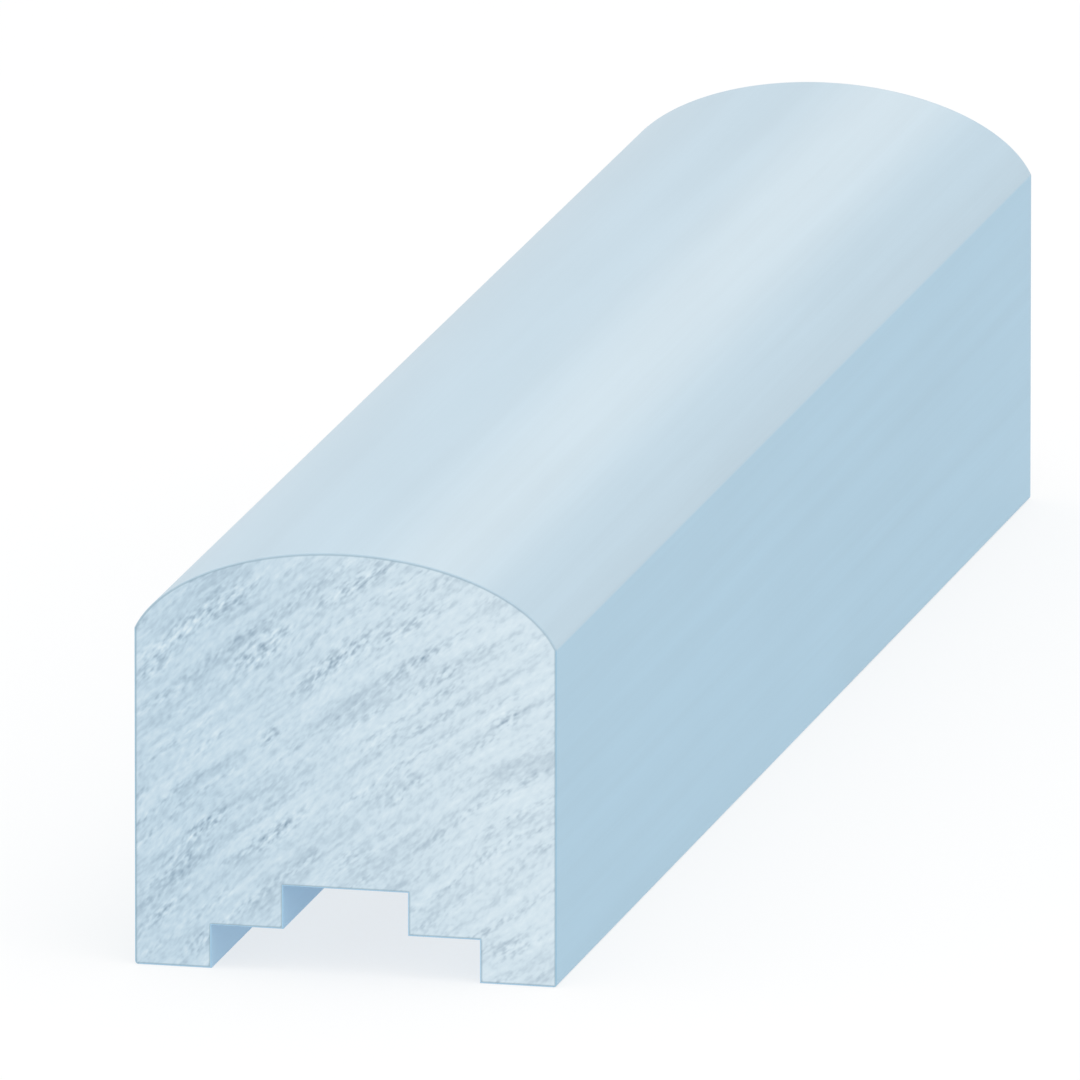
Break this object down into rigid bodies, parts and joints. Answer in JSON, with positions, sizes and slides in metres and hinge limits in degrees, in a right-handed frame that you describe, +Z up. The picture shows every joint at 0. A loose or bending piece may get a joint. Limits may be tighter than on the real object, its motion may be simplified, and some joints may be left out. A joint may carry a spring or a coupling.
{
  "type": "timber handrail",
  "caption": "Straight length of moulded timber handrail with a rounded top, upright sides and a stepped groove underneath that seats balusters and infill.",
  "frame": {"origin": "on the floor under the middle of the rail, halfway along it and across it", "axes": "+X across the rail, +Y along it, +Z up through the crown"},
  "size_m": [0.066, 0.33, 0.066],
  "materials": {
    "primed_pine": "satin pale blue primer on dressed pine, sawn end grain"
  },
  "bodies": {
    "root": {"handrail": "primed_pine"}
  },
  "joints": []
}
